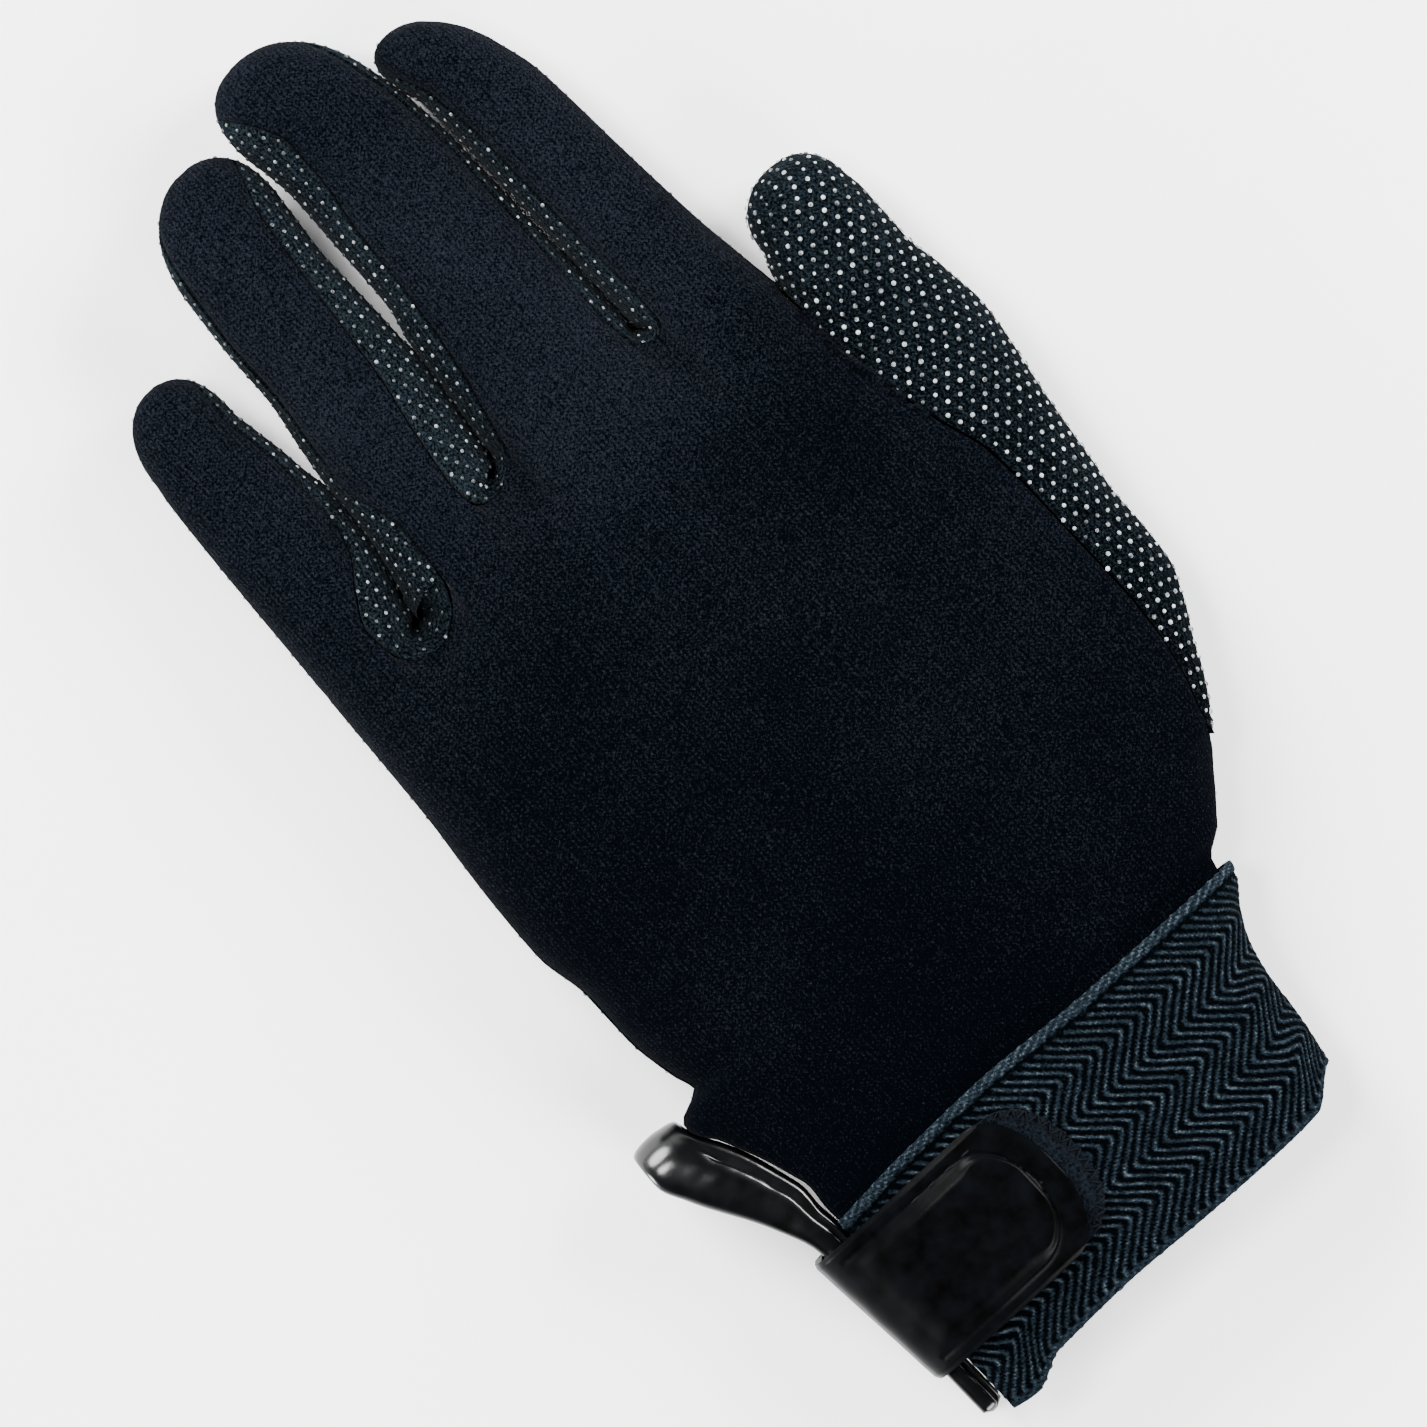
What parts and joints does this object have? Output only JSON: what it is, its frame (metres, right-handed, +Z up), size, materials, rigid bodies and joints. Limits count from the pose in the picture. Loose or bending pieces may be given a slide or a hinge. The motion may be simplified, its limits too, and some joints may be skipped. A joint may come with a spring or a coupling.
{
  "type": "riding glove",
  "caption": "Left-hand riding glove: knit back, dotted grip palm, thumb and finger gussets, herringbone elastic cuff, side vent and wrap-over strap.",
  "frame": {"origin": "middle of the glove's plan, on the table that it lies on, under the palm", "axes": "+X to the thumb side, +Y to the fingertips, +Z up out of the back of the hand"},
  "size_m": [0.143, 0.2574, 0.0277],
  "materials": {
    "jersey": "matt black cotton jersey with a fine knit grain",
    "grip_fabric": "black cotton with rows of small pale raised grip dots",
    "elastic": "black woven elastic with a raised herringbone of cords",
    "loop_fabric": "black brushed loop fabric, stitched down round its edge",
    "coated_fabric": "glossy black synthetic leather"
  },
  "bodies": {
    "root": {"back_panel": "jersey", "palm_panel": "grip_fabric", "thumb": "grip_fabric", "fourchette_ring_little": "grip_fabric", "fourchette_middle_ring": "grip_fabric", "fourchette_index_middle": "grip_fabric", "cuff_elastic": "elastic", "loop_patch": "loop_fabric", "strap": "coated_fabric", "vent_binding": "coated_fabric"}
  },
  "joints": []
}
